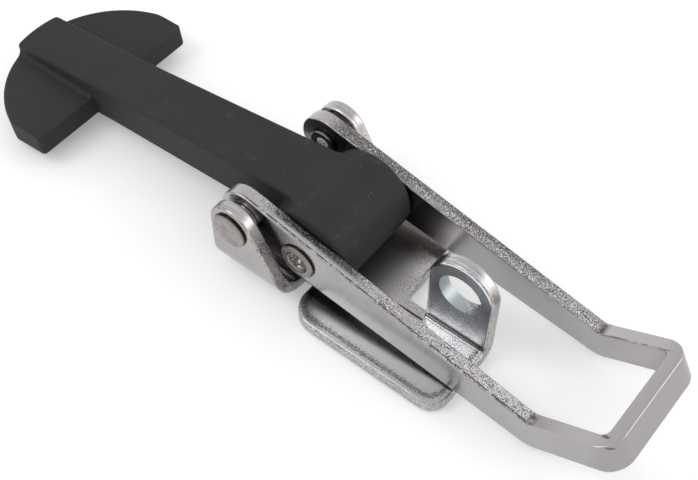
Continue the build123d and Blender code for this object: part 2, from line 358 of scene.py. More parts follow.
@dataclass(frozen=True)
class Spot:
    """A soft-edged spot round a place, in millimetres, stretched after a turn about Y in radians."""

    centre: Triple
    edge: Span
    stretch: Triple = EVEN
    turn: float = 0.0
    strength: float = 1.0

    def mask(self, graph: Graph) -> Socket:
        """The spot as a mask."""
        away = graph.distance(self.centre, self.stretch, self.turn)
        return graph.times(graph.reach(away, self.edge), self.strength)


@dataclass
class ZincLayers:
    """What the steps of a zinc finish hand on while its material is built."""

    graph: Graph
    grit: Socket
    patch: Socket
    torn: Socket
    rolled: Socket
    cut: Socket
    rolled_roughness: Socket
    cut_roughness: Socket
    rolled_relief: Input = 0.0


@dataclass(frozen=True)
class ZincFinish:
    """Bright zinc plate on steel, smooth on the rolled faces and grainy where the stock was cut."""

    name: str
    # painted shade: a dark ring round a pin's end, where shade falls in the crevice
    crevice_shade: Spot
    colour: Colour = (0.44, 0.42, 0.415, 1.0)
    cloud: Colour = (0.39, 0.375, 0.375, 1.0)
    cut_colour: Colour = (0.50, 0.48, 0.47, 1.0)
    soot: Colour = (0.075, 0.075, 0.07, 1.0)
    # colour of the pits and dark edge lines, and of the painted shade in crevices and small creases
    pit_and_shade: Colour = (0.03, 0.027, 0.024, 1.0)
    spark: Colour = (0.92, 0.91, 0.89, 1.0)
    roughness: float = 0.15
    crown_roughness: float = 0.285
    torn_roughness: float = 0.34
    clouds: Mottle = Mottle(70, 3, edge=(0.35, 0.65))
    ripple: Relief = Relief(150, 3, depth=0.2, strength=0.25)
    skin: Relief = Relief(900, 4, 0.6, depth=0.02, strength=0.25)
    skin_roughness: float = 0.1
    grain: Relief = Relief(3300, 3, 0.75, depth=0.2, strength=0.6)
    patches: Mottle = Mottle(220, 3, 0.6, edge=(0.66, 0.40))
    between_patches: float = 0.45
    pit_heights: Span = (0.500, 0.455)
    pit_strength: float = 0.88
    fleck_height: float = 0.530
    sooty_fleck_height: float = 0.045
    fleck_contrast: float = 26.0
    fleck_strength: float = 0.85
    score_lines: Grain = Grain(1, 3, 0.6, (60, 950, 60))
    dark_scores: Span = (0.42, 0.36)
    bright_scores: Span = (0.60, 0.66)
    crown_scores: float = 1.0
    torn_scores: float = 0.25
    score_strength: float = 0.6
    rim_breaks: Mottle = Mottle(500, 3, 0.7, edge=(0.42, 0.56))
    rim_strength: float = 0.8
    # painted shade: small dark marks in creases
    crease_shades: tuple[Spot, ...] = ()
    crease_shade_breaks: Mottle = Mottle(800, 3, 0.7, edge=(0.36, 0.52))
    crease_shade_strength: float = 0.75

    def cut_mask(self, graph: Graph) -> Socket:
        """Where the piece shows a cut edge, 1 there and 0 on rolled faces."""
        raise NotImplementedError

    def tear(self, graph: Graph) -> Socket:
        """How torn a cut edge is along the piece, low on its smooth crowns."""
        raise NotImplementedError

    def sootiness(self, graph: Graph) -> Socket:
        """How sooty a cut edge is along the piece."""
        raise NotImplementedError

    def tinted(self, graph: Graph, shade: Socket) -> Socket:
        """The rolled faces' colour with the tints of this piece."""
        raise NotImplementedError

    def add_details(self, layers: ZincLayers) -> None:
        """Adds what only this piece has."""
        raise NotImplementedError

    def score_height(self, graph: Graph) -> Socket:
        """Height of the lines that the cutting tool left."""
        return self.score_lines.height(graph)

    def marks(self, graph: Graph) -> list[Socket]:
        """Masks of the small dark marks of painted shade in the creases where the tools pinched the metal.
        """
        spots = graph.most(*(spot.mask(graph) for spot in self.crease_shades))
        return [graph.times(spots, self.crease_shade_breaks.mask(graph), self.crease_shade_strength)]

    def speckled(self, graph: Graph, base: Input, grit: Socket, torn: Socket, sooty: Input = 0.0) -> Socket:
        """Dark pits and bright flecks over a base colour.

        Args:
            graph: the material's nodes.
            base: the colour under them.
            grit: the grain's height.
            torn: how dense they are.
            sooty: where the flecks are fewer and finer.

        Returns:
            The speckled colour.
        """
        pits = graph.times(graph.rise(grit, self.pit_heights), torn, self.pit_strength)
        level = graph.plus(self.fleck_height, graph.times(sooty, self.sooty_fleck_height))
        fleck = graph.math("MULTIPLY", graph.minus(grit, level), self.fleck_contrast, clamp=True)
        colour = graph.blend(pits, base, self.pit_and_shade)
        return graph.blend(graph.times(fleck, torn, self.fleck_strength), colour, self.spark)

    def scored(self, graph: Graph, base: Socket, torn: Socket) -> Socket:
        """Lines that the cutting tool left along an edge, over a base colour.

        Args:
            graph: the material's nodes.
            base: the colour under them.
            torn: how torn the edge is there.

        Returns:
            The scored colour.
        """
        lines = self.score_height(graph)
        share = graph.times(graph.mix(torn, self.crown_scores, self.torn_scores), self.score_strength)
        for heights, colour in ((self.dark_scores, self.soot), (self.bright_scores, self.spark)):
            base = graph.blend(graph.times(graph.rise(lines, heights), share), base, colour)
        return base

    def edge_roughness(self, graph: Graph, torn: Socket) -> Socket:
        """Roughness of the cut edges, lower on their smooth crowns."""
        return graph.mix(torn, self.crown_roughness, self.torn_roughness)

    def rolled_colour(self, graph: Graph) -> Socket:
        """Colour of the rolled faces, with painted shade in the crevice round a rivet."""
        shade = graph.blend(self.clouds.mask(graph), self.cloud, self.colour)
        return graph.blend(self.crevice_shade.mask(graph), self.tinted(graph, shade), self.pit_and_shade)

    def material(self) -> Material:
        """The finish as a material.

        Returns:
            The new material.
        """
        graph = Graph(self.name)
        fine = self.skin.height(graph)
        skin = graph.bump(fine, self.skin.depth, self.skin.strength, self.ripple.normal(graph))
        edge = self.cut_mask(graph)
        torn, sooty = self.tear(graph), self.sootiness(graph)
        grit = self.grain.height(graph)
        patch = self.patches.mask(graph)
        density = graph.times(torn, graph.mix(patch, self.between_patches, 1.0))
        base = self.scored(graph, graph.blend(sooty, self.cut_colour, self.soot), torn)
        layers = ZincLayers(
            graph, grit, patch, torn, rolled=self.rolled_colour(graph),
            cut=self.speckled(graph, base, grit, density, sooty),
            rolled_roughness=graph.plus(self.roughness, graph.times(fine, self.skin_roughness)),
            cut_roughness=self.edge_roughness(graph, torn))
        self.add_details(layers)
        colour = graph.blend(edge, layers.rolled, layers.cut)
        rim = graph.times(edge, graph.inverse(edge), RIM_GAIN, self.rim_strength)
        for mark in (graph.times(rim, self.rim_breaks.mask(graph)), *self.marks(graph)):
            colour = graph.blend(mark, colour, self.pit_and_shade)
        relief = graph.most(graph.times(edge, layers.torn, self.grain.strength), layers.rolled_relief)
        normal = graph.bump(grit, self.grain.depth, relief, skin)
        roughness = graph.mix(edge, layers.rolled_roughness, layers.cut_roughness)
        return graph.surface(colour, roughness, normal, METAL)


@dataclass(frozen=True)
class SheetFinish(ZincFinish):
    """Zinc plate on the base's folded sheet, with sheared edges, speckled flanges and a bored eye."""

    outline_front: float = field(kw_only=True)
    outline_side: float = field(kw_only=True)
    outline_back: float = 21.4
    corner_radius: float = 7.0
    # colour of the painted shade in the corner and of the painted dark line along the flanges
    shade_brown: Colour = (0.085, 0.062, 0.054, 1.0)
    # painted reflection: the eye is lightened and blued for the bluish light that it reflects
    reflected_blue: Colour = (0.76, 0.78, 0.83, 1.0)
    pale: Colour = (0.47, 0.475, 0.48, 1.0)
    bore: Colour = (0.46, 0.50, 0.52, 1.0)
    bore_roughness: float = 0.45
    bore_grain: Grain = Grain(1500, 3, 0.75)
    bore_flecks: Zone = Zone(back=(62.5, 66.5), strength=0.45)
    eye_hole: Spot = Spot((63.3, 0, 23.4), (7.55, 7.3), ABOUT_Y)
    eye: Zone = Zone(back=EYE_BACK)
    eye_scores: float = 1.7
    ears: Zone = Zone(bottom=(9.0, 12.0))
    sole: Zone = Zone(top=(4.4, 4.0))
    edge_tilt: Span = (0.45, 0.75)
    end_tilt: Span = (0.4, 0.7)
    below_crown: Zone = Zone(top=(27.5, 22.0))
    crown_tear: float = 0.2
    side_tear: float = 0.9
    ear_back: Zone = Zone(front=(1.0, -3.0), strength=0.45)
    ear_back_breaks: Mottle = Mottle(330, 2, edge=(0.48, 0.58))
    slope: Zone = Zone(back=(7.5, 11.0), front=(18.5, 15.5), strength=0.5)
    slope_breaks: Mottle = Mottle(170, 2, edge=(0.46, 0.60))
    # painted shade: the floor under the far side of the latch is darkened where the latch shades it
    corner: Zone = Zone(front=(48.0, 40.0), near=(6.0, 13.0), top=FLANGE_TOP, strength=0.8)
    # painted highlight: the strip under the eye is lightened toward the flecks' colour
    foot: Zone = Zone(back=(52.0, 54.0), outer=(18.0, 16.0), top=FLANGE_TOP, strength=0.2)
    beside: Zone = Zone(inner=(19.5, 20.5), top=FLANGE_TOP, strength=0.85)
    # where the eye is painted with the reflected blue
    tongue: Zone = Zone(back=EYE_BACK, bottom=(4.4, 7.5))
    flanges: Zone = Zone(inner=(19.5, 20.5), top=FLANGE_TOP)
    flange_relief: float = 0.13
    flange_roughness: float = 0.09
    scuffs: Zone = Zone(back=(34.0, 43.0), outer=(19.5, 17.5), top=FLANGE_TOP, strength=0.6)
    between_ears: Zone = Zone(front=(47.0, 40.0), outer=(17.5, 16.5), top=FLANGE_TOP, strength=0.14)
    line_outside: Span = (1.4, 1.9)
    line_inside: Span = (3.4, 2.4)
    line_wander: Grain = Grain(1900, 2, 0.7)
    line_reach: float = 2.2
    line_sand: Mottle = Mottle(2400, 2, 0.7, edge=(0.39, 0.49))
    line_widening: float = 0.1
    line_strength: float = 0.95
    sand_widening: float = 1.0
    sand_strength: float = 0.45

    def cut_mask(self, graph: Graph) -> Socket:
        """Where the piece shows a cut edge.

        Args:
            graph: the material's nodes.

        Returns:
            1 on cut edges and 0 on rolled faces.
        """
        upright = graph.times(self.ears.mask(graph), graph.tilt(Axis.Z, self.edge_tilt))
        flat = graph.times(self.sole.mask(graph), graph.tilt(Axis.Y, self.edge_tilt))
        return graph.most(graph.tilt(Axis.X, self.end_tilt), upright, flat)

    def tear(self, graph: Graph) -> Socket:
        """How torn a cut edge is, low on the ears' crowns and broken at their back."""
        back = graph.times(self.ear_back.mask(graph), self.ear_back_breaks.mask(graph))
        return graph.mix(self.below_crown.mask(graph), graph.plus(self.crown_tear, back), self.side_tear)

    def sootiness(self, graph: Graph) -> Socket:
        """How sooty a cut edge is, in patches down the ears' slope."""
        return graph.times(self.slope.mask(graph), self.slope_breaks.mask(graph))

    def score_height(self, graph: Graph) -> Socket:
        """Height of the lines that the cutting tool left, deeper round the eye."""
        lines, contrast = super().score_height(graph), graph.mix(self.eye.mask(graph), 1.0, self.eye_scores)
        return graph.plus(graph.times(graph.minus(lines, NOISE_MIDDLE), contrast), NOISE_MIDDLE)

    def outline(self, graph: Graph, wider: float) -> Socket:
        """The dark, speckled line along the flanges, a little inside their outline, painted as the dark
        reflection where their tops roll over the edges.

        Args:
            graph: the material's nodes.
            wider: how much further the line reaches on both sides, in millimetres.

        Returns:
            1 on the line and 0 elsewhere.
        """
        radius = self.corner_radius * MM
        ahead = graph.part(graph.place, Axis.X)
        back = graph.minus(self.outline_back * MM + radius, ahead)
        front = graph.minus(ahead, self.outline_front * MM - radius)
        side = graph.minus(graph.size_of(graph.place, Axis.Y), self.outline_side * MM - radius)
        past, out = graph.most(back, front, 0.0), graph.most(side, 0.0)
        away = graph.math("SQRT", graph.plus(graph.times(past, past), graph.times(out, out)))
        wander = graph.times(graph.minus(self.line_wander.height(graph), NOISE_MIDDLE), self.line_reach * MM)
        inset = graph.plus(graph.minus(radius, away), wander)
        outside = graph.reach(inset, (self.line_outside[0] - wider, self.line_outside[1] - wider))
        inside = graph.reach(inset, (self.line_inside[0] + wider, self.line_inside[1] + wider))
        return graph.times(outside, inside, Zone(top=FLANGE_TOP).mask(graph), self.line_sand.mask(graph))

    def tinted(self, graph: Graph, shade: Socket) -> Socket:
        """Painted shade in the brown corner, pale flanges with their dark line of painted reflection, a
        painted highlight on the foot and a painted bluish reflection on the tongue.

        Args:
            graph: the material's nodes.
            shade: the rolled faces' colour.

        Returns:
            The tinted colour.
        """
        for zone, tint in ((self.corner, self.shade_brown), (self.foot, self.spark), (self.beside, self.pale)):
            shade = graph.blend(zone.mask(graph), shade, tint)
        # painted reflection: the dark line where the flanges roll over their edges
        line = graph.times(self.outline(graph, self.line_widening), self.line_strength)
        shade = graph.blend(line, shade, self.shade_brown)
        return graph.blend(self.tongue.mask(graph), shade, self.reflected_blue)

    def add_details(self, layers: ZincLayers) -> None:
        """Lines the eye's bore, scuffs the floor and roughens the flanges.

        Args:
            layers: the finish so far.
        """
        graph = layers.graph
        inside = graph.times(self.eye_hole.mask(graph), self.eye.mask(graph))
        lining = self.speckled(graph, self.bore, self.bore_grain.height(graph), self.bore_flecks.mask(graph))
        layers.cut = graph.blend(inside, layers.cut, lining)
        layers.torn = graph.times(layers.torn, graph.inverse(inside))
        edge_roughness = self.edge_roughness(graph, layers.torn)
        layers.cut_roughness = graph.mix(inside, edge_roughness, self.bore_roughness)
        scuffed = graph.times(self.scuffs.mask(graph), layers.patch)
        sandy = graph.times(self.outline(graph, self.sand_widening), self.sand_strength)
        layers.rolled = self.speckled(graph, layers.rolled, layers.grit, graph.most(scuffed, sandy))
        flange, floor = self.flanges.mask(graph), self.between_ears.mask(graph)
        rougher = graph.times(flange, self.flange_roughness)
        layers.rolled_relief = graph.times(flange, self.flange_relief)
        layers.rolled_roughness = graph.plus(layers.rolled_roughness, rougher, floor)


@dataclass(frozen=True)
class StripFinish(ZincFinish):
    """Zinc plate on the lever's edge bent strip, whose upper and lower edges were cut."""

    # painted reflection on the arms' sides under their upper edges, and painted shade on the crossbar
    cool_reflection: Colour = (0.42, 0.425, 0.43, 1.0)
    shaded: Colour = (0.345, 0.33, 0.325, 1.0)
    grain: Relief = Relief(3300, 3, 0.75, (1.25, 0.55, 1.25), depth=0.2, strength=0.6)
    crown_scores: float = 0.45
    side_tilt: Span = (0.8, 0.4)
    before_crank: Zone = Zone(front=(98.5, 94.5))
    root: Zone = Zone(back=(-4.0, 10.0))
    root_tear: float = 0.16
    near_outer: Zone = Zone(front=(50.0, 36.0), far=(-16.6, -18.4), strength=0.72)
    near_inner: Zone = Zone(back=(4.0, 13.0), front=(44.0, 34.0), near=(-18.7, -17.2), far=(1.0, -1.0))
    far_outer: Zone = Zone(back=(4.0, 12.0), front=(88.0, 70.0), near=(16.6, 18.6), strength=0.72)
    far_root: Zone = Zone(back=(0.0, 6.0), front=(40.0, 26.0), near=(-1.0, 1.0), strength=0.72)
    far_rest: Zone = Zone(back=(20.0, 30.0), near=(-1.0, 1.0), strength=0.38)
    pivot_height: float = 22.4
    arm_slope: float = math.radians(-11.25)
    cool_levels: Span = (6.2, 5.4)
    cool_strength: float = 0.8
    crossbar: Zone = Zone(back=(111.0, 118.0))
    top_tilt: Span = (0.7, 0.4)
    top_lift: Span = (0.55, 0.75)
    crossbar_top: float = 0.5
    handle: Zone = Zone(back=(98.0, 104.0), strength=0.12)
    near_seam: Zone = Zone(back=(-4.0, 2.0), front=(99.0, 96.0), near=(-19.62, -19.44), far=(-18.98, -19.16))
    far_seam: Zone = Zone(
        back=(98.5, 100.5), front=(116.5, 115.5), near=(15.54, 15.68), far=(16.06, 15.92), strength=0.7)
    seam_lift: Span = (0.5, 0.8)
    seam_breaks: Mottle = Mottle(420, 3, 0.7, edge=(0.38, 0.50))
    seam_strength: float = 0.85
    # painted shade in small creases at the handle's near corner
    crease_shades: tuple[Spot, ...] = (
        Spot((118.5, -17.8, 22.6), (1.0, 0.5), (0.42, 0.42, 2.6), math.radians(31)),
        Spot((115.6, -15.9, 22.4), (1.0, 0.5), (0.65, 1.5, 0.65)))

    def cut_mask(self, graph: Graph) -> Socket:
        """Where the piece shows a cut edge, which is all that doesn't face Y before the crank."""
        return graph.times(graph.tilt(Axis.Y, self.side_tilt), self.before_crank.mask(graph))

    def tear(self, graph: Graph) -> Socket:
        """How torn a cut edge is, low at the arms' root and along the near arm's outer side."""
        torn = graph.mix(self.root.mask(graph), self.root_tear, 1.0)
        return graph.times(torn, graph.inverse(self.near_outer.mask(graph)))

    def sootiness(self, graph: Graph) -> Socket:
        """How sooty a cut edge is along the arms."""
        dark = (self.near_inner, self.far_outer, self.far_root, self.far_rest)
        return graph.most(*(zone.mask(graph) for zone in dark))

    def tinted(self, graph: Graph, shade: Socket) -> Socket:
        """A painted cool reflection under the arms' upper edges and painted shade on the crossbar.

        Args:
            graph: the material's nodes.
            shade: the rolled faces' colour.

        Returns:
            The tinted colour.
        """
        slanted = graph.moved(Vector((0, 0, self.pivot_height)) * MM, self.arm_slope, EVEN)
        cool_reflection = graph.times(graph.reach(graph.part(slanted, Axis.Z), self.cool_levels), self.cool_strength)
        return graph.blend(self.crossbar.mask(graph), graph.blend(cool_reflection, shade, self.cool_reflection), self.shaded)

    def marks(self, graph: Graph) -> list[Socket]:
        """Small dark marks of painted crease shade, and the broken dark lines along two of the strip's upper
        edges.

        Args:
            graph: the material's nodes.

        Returns:
            One mask for each kind of mark.
        """
        lines = graph.most(self.near_seam.mask(graph), self.far_seam.mask(graph))
        upward = graph.rise(graph.part(graph.facing, Axis.Z), self.seam_lift)
        seams = graph.times(lines, upward, self.seam_breaks.mask(graph), self.seam_strength)
        return [*super().marks(graph), seams]

    def add_details(self, layers: ZincLayers) -> None:
        """Brightens the faces that look up, less on the crossbar, and dulls the handle.

        Args:
            layers: the finish so far.
        """
        graph = layers.graph
        top = graph.times(
            graph.tilt(Axis.Y, self.top_tilt),
            graph.rise(graph.part(graph.facing, Axis.Z), self.top_lift),
            graph.mix(self.crossbar.mask(graph), 1.0, self.crossbar_top))
        layers.rolled = graph.blend(top, layers.rolled, self.cut_colour)
        layers.rolled_roughness = graph.plus(layers.rolled_roughness, self.handle.mask(graph))


@dataclass(frozen=True)
class Groove:
    """A dark ring of painted shade, standing for a groove in a pin's end, in millimetres."""

    radius: float
    half_width: float
    strength: float = 0.9
    core: float = 0.3

    def mask(self, graph: Graph, away: Socket) -> Socket:
        """The ring as a mask, from the distance to the pin's axis in metres."""
        off = graph.math("ABSOLUTE", graph.minus(away, self.radius * MM))
        return graph.times(graph.reach(off, (self.half_width, self.half_width * self.core)), self.strength)


@dataclass(frozen=True)
class PinFinish:
    """Zinc plate on a turned pin whose ends were closed by a tool, with painted shade on its side walls,
    bevels and grooves.
    """

    name: str
    centre: Triple
    grooves: tuple[Groove, ...]
    grooved_within: float
    grooved_fade: float = 1.0
    face: Colour = (0.35, 0.315, 0.305, 1.0)
    cloud: Colour = (0.27, 0.24, 0.23, 1.0)
    # painted shade: the bevel is darkened to take out its highlight, and the side walls are dark where shade
    # falls
    bevel_shade: Colour = (0.25, 0.22, 0.21, 1.0)
    wall_shade: Colour = (0.035, 0.029, 0.026, 1.0)
    roughness: float = 0.3
    clouds: Mottle = Mottle(420, 4, 0.65, edge=(0.4, 0.6))
    bevel_tilt: Span = (0.93, 0.80)
    wall_tilt: Span = (0.55, 0.35)
    relief: Relief = Relief(700, 4, 0.6, depth=0.1, strength=0.4)

    def material(self) -> Material:
        """The finish as a material.

        Returns:
            The new material.
        """
        graph = Graph(self.name)
        tone = graph.blend(self.clouds.mask(graph), self.cloud, self.face)
        away = graph.distance(self.centre, ABOUT_Y)
        grooved = Zone(outer=(self.grooved_within + self.grooved_fade, self.grooved_within)).mask(graph)
        for groove in self.grooves:
            tone = graph.blend(graph.times(groove.mask(graph, away), grooved), tone, self.wall_shade)
        tone = graph.blend(graph.tilt(Axis.Y, self.bevel_tilt), tone, self.bevel_shade)
        tone = graph.blend(graph.tilt(Axis.Y, self.wall_tilt), tone, self.wall_shade)
        return graph.surface(tone, self.roughness, self.relief.normal(graph), METAL)


@dataclass(frozen=True)
class CrumpledFinish:
    """Metal that was pressed and cracked in the hollow of a closed rivet, with painted highlights on its
    ridges and painted shade between them.
    """

    name: str
    ridge_highlight: Colour = (0.93, 0.92, 0.90, 1.0)
    hollow_shade: Colour = (0.13, 0.11, 0.10, 1.0)
    level: float = 0.5
    below: float = 0.06
    above: float = 0.04
    metallic: float = 0.85
    roughness: float = 0.42
    relief: Relief = Relief(900, 3, 0.7, depth=0.3, strength=0.8)

    def material(self) -> Material:
        """The finish as a material.

        Returns:
            The new material.
        """
        graph = Graph(self.name)
        height = self.relief.height(graph)
        ridges = graph.rise(height, (self.level - self.below, self.level + self.above))
        normal = graph.bump(height, self.relief.depth, self.relief.strength)
        tone = graph.blend(ridges, self.hollow_shade, self.ridge_highlight)
        return graph.surface(tone, self.roughness, normal, self.metallic)


@dataclass(frozen=True)
class WasherFinish:
    """Dull zinc plate on a washer that rubs between ear and arm."""

    name: str
    colour: Colour = (0.36, 0.34, 0.335, 1.0)
    worn: Colour = (0.18, 0.165, 0.16, 1.0)
    roughness: float = 0.32
    wear: Mottle = Mottle(380, 3, 0.6, edge=(0.42, 0.6))
    relief: Relief = Relief(1200, depth=0.05, strength=0.4)

    def material(self) -> Material:
        """The finish as a material.

        Returns:
            The new material.
        """
        graph = Graph(self.name)
        tone = graph.blend(self.wear.mask(graph), self.worn, self.colour)
        return graph.surface(tone, self.roughness, self.relief.normal(graph), METAL)


@dataclass(frozen=True)
class RubberFinish:
    """Moulded charcoal rubber with a dry, slightly dusty skin."""

    name: str
    colour: Colour = (0.030, 0.0305, 0.0305, 1.0)
    cloud: Colour = (0.026, 0.0265, 0.0265, 1.0)
    dust: Colour = (0.14, 0.14, 0.135, 1.0)
    roughness: float = 0.62
    uneven: float = 0.08
    specular: float = 0.2
    clouds: Mottle = Mottle(45, 4, 0.6, edge=(0.35, 0.7))
    specks_scale: float = 520.0
    speck_edge: Span = (0.12, 0.06)
    speck_patches: Mottle = Mottle(260, 1, edge=(0.62, 0.66))
    speck_strength: float = 0.7
    clear_of_head: Zone = Zone(back=(-70.0, -10.0))
    head_dust: float = 0.25
    scuffs: Mottle = Mottle(1, 4, 0.7, (90, 160, 420), 0.6, edge=(0.58, 0.72))
    scuff_strength: float = 0.16
    swell: Relief = Relief(70, depth=0.4, strength=0.3)
    skin: Relief = Relief(1800, 3, 0.6, depth=0.05, strength=0.4)

    def material(self) -> Material:
        """The finish as a material.

        Returns:
            The new material.
        """
        graph = Graph(self.name)
        colour = graph.blend(self.clouds.mask(graph), self.cloud, self.colour)
        dusty = graph.mix(self.clear_of_head.mask(graph), self.head_dust, 1.0)
        specks = graph.times(
            graph.rise(graph.cells(self.specks_scale), self.speck_edge), self.speck_patches.mask(graph),
            dusty, self.speck_strength)
        scuffs = graph.times(self.scuffs.mask(graph), self.scuff_strength, dusty)
        for mark in (specks, scuffs):
            colour = graph.blend(mark, colour, self.dust)
        skin = self.skin.height(graph)
        normal = graph.bump(skin, self.skin.depth, self.skin.strength, self.swell.normal(graph))
        roughness = graph.mix(skin, self.roughness - self.uneven, self.roughness + self.uneven)
        return graph.surface(colour, roughness, normal, 0.0, self.specular)


@dataclass(frozen=True)
class Upset:
    """The crumpled middle of a closed rivet end, in the hollow that the closing tool leaves.

    The section's points are shares of its radius and of its ridges' height, from the root to the middle.
    """

    body: Body
    finish: CrumpledFinish
    radius: float
    ridge: float
    lumps: float
    section: tuple[Pair, ...] = (
        (0.0, -0.04), (1.0, -0.04), (1.0, 0.01), (0.93, 0.25), (0.84, 0.05), (0.72, 0.9), (0.6, 0.35),
        (0.45, 1.0), (0.3, 0.4), (0.15, 0.9), (0.0, 0.7))
    steps: int = 56
    smooth_rim: float = 0.9
    lumps_per_mm: float = 1.4
    side_offset: float = 3.0
    lowest: float = 0.01
    merge_distance: float = 0.0005

    def crumple(self, shape: bmesh.types.BMesh, outward: int) -> None:
        """Raises and lowers the middle's face, but not its rim.

        Args:
            shape: the spun middle, in millimetres.
            outward: 1 or -1, so that the two ends differ.
        """
        offset = outward * self.side_offset + self.radius
        for vertex in shape.verts:
            share = math.hypot(vertex.co.x, vertex.co.z) / self.radius
            if vertex.co.y > 0 and share < self.smooth_rim:
                lump = noise.noise(Vector((vertex.co.x, vertex.co.z, offset)) * self.lumps_per_mm)
                vertex.co.y = max(vertex.co.y + lump * self.lumps, self.lowest)

    def build(self, name: str, centre: Vector, outward: int) -> None:
        """Spins the middle's section round its axis and crumples it.

        Args:
            name: the piece's name.
            centre: middle of the hollow's floor, in millimetres.
            outward: 1 where the end looks to +Y, -1 where it looks to -Y.
        """
        shape = bmesh.new()
        scaled = [(share * self.radius, rise * self.ridge, 0) for share, rise in self.section]
        corners = [shape.verts.new(point) for point in scaled]
        for first, second in zip(corners, corners[1:]):
            shape.edges.new((first, second))
        bmesh.ops.spin(
            shape, geom=shape.verts[:] + shape.edges[:], cent=(0, 0, 0), axis=(0, 1, 0), dvec=(0, 0, 0),
            angle=math.tau, steps=self.steps, use_merge=True)
        bmesh.ops.remove_doubles(shape, verts=shape.verts, dist=self.merge_distance)
        self.crumple(shape, outward)
        bmesh.ops.scale(shape, vec=(MM, outward * MM, MM), verts=shape.verts)
        bmesh.ops.translate(shape, vec=centre * MM, verts=shape.verts)
        bmesh.ops.recalc_face_normals(shape, faces=shape.faces)
        piece = finished(shape, name)
        paint(piece, self.finish.material())
        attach(piece, self.body.value)


@dataclass
class PartingLine:
    """The thin bead that the mould's halves leave across the front of the strap's boss, in millimetres."""

    angle: float = math.radians(-18.0)
    width: float = 0.42
    height: float = 0.3
    inset: float = 1.6
    sides: int = 10
    waves: int = 60
    swell: float = 0.25
    swells_per_mm: float = 0.7
    taper: float = 1.2
    blunt: float = 0.15

    def build(self, boss_centre: Vector, boss_radius: float, half_width: float) -> Object:
        """Lays the bead along the boss, a little uneven.

        Args:
            boss_centre: middle of the boss, in millimetres.
            boss_radius: radius of the boss.
            half_width: half its width.

        Returns:
            The finished bead.
        """
        shape = bmesh.new()
        reach = half_width - self.inset
        bmesh.ops.create_cone(
            shape, cap_ends=True, segments=self.sides, depth=2 * reach,
            radius1=self.width, radius2=self.width)
        along = [edge for edge in shape.edges if abs(edge.verts[0].co.z - edge.verts[1].co.z) > reach]
        bmesh.ops.subdivide_edges(shape, edges=along, cuts=self.waves)
        for vertex in shape.verts:
            swell = 1 + self.swell * noise.noise(Vector((0, 0, vertex.co.z * self.swells_per_mm)))
            end = min(1.0, (reach - abs(vertex.co.z)) / self.taper + self.blunt)
            vertex.co.x *= swell * end
            vertex.co.y *= swell * end * self.height / self.width
        quarter = math.pi / 2
        for turn, axis in ((quarter, "X"), (quarter - self.angle, "Y")):
            bmesh.ops.rotate(shape, verts=shape.verts, cent=(0, 0, 0), matrix=Matrix.Rotation(turn, 3, axis))
        outward = Vector((math.cos(self.angle), 0, math.sin(self.angle)))
        bmesh.ops.translate(shape, verts=shape.verts, vec=boss_centre + outward * boss_radius)
        bmesh.ops.scale(shape, verts=shape.verts, vec=(MM, MM, MM))
        bmesh.ops.recalc_face_normals(shape, faces=shape.faces)
        return finished(shape, "parting_line")


@dataclass
class PinEnds:
    """Where a pin or rivet lies, and the painted shade in the crevice round its ends, in millimetres."""

    low: Vector
    high: Vector
    radius: float
    crevice_shade_edge: Span = (0.45, 0.05)
    crevice_shade_strength: float = 0.5

    def axis(self, side: float = 0.0) -> Vector:
        """A point of the pin's axis."""
        middle = (self.low + self.high) / 2
        return Vector((middle.x, side, middle.z))

    def crevice_shade(self) -> Spot:
        """The ring of painted shade beside its ends."""
        edge = (self.radius + self.crevice_shade_edge[0], self.radius + self.crevice_shade_edge[1])
        return Spot(tuple(self.axis()), edge, ABOUT_Y, strength=self.crevice_shade_strength)


@dataclass
class BaseAssembly:
    """Base plate, rivets and washers."""

    nodes: Nodes
    head_radius: float = 5.75
    dish_depth: float = 0.4
    grooved_within: float = 18.0
    grooves: tuple[Groove, ...] = (Groove(2.8, 0.3), Groove(3.7, 0.35))
    # painted light: the rivets' crumpled middles are white and not metal, so that they stay bright in the
    # shade between the arms
    upset: Upset = Upset(Body.BASE, radius=2.3, ridge=0.2, lumps=0.28, finish=CrumpledFinish(
        "crumpled_zinc_on_rivets", (1.0, 1.0, 1.0, 1.0), (0.62, 0.61, 0.59, 1.0), level=0.42, metallic=0.0))
    # painted shade in a small crease on the eye
    pinch_shades: tuple[Spot, ...] = (Spot((55.4, -2.4, 31.4), (1.0, 0.55), (0.33, 0.33, 0.33)),)

    def dress(self) -> None:
        """Gives the base's solids their finishes and crumples the rivets' inner ends."""
        ends = PinEnds(*box_in_mm("pivot_rivet_far"), self.head_radius)
        corner = box_in_mm("base_plate")[1]
        plate = SheetFinish(
            "zinc_on_folded_sheet", ends.crevice_shade(), crease_shades=self.pinch_shades, outline_front=corner.x,
            outline_side=corner.y)
        paint(self.nodes["base_plate"], plate.material())
        pins = PinFinish("zinc_on_rivets", tuple(ends.axis()), self.grooves, self.grooved_within).material()
        washers = WasherFinish("zinc_on_washers").material()
        for side in Side:
            name = side.name.lower()
            paint(self.nodes[f"pivot_rivet_{name}"], pins)
            paint(self.nodes[f"spacer_washer_{name}"], washers)
            floor = ends.axis(side.value * (ends.low.y + self.dish_depth))
            self.upset.build(f"rivet_upset_{name}", floor, -side.value)


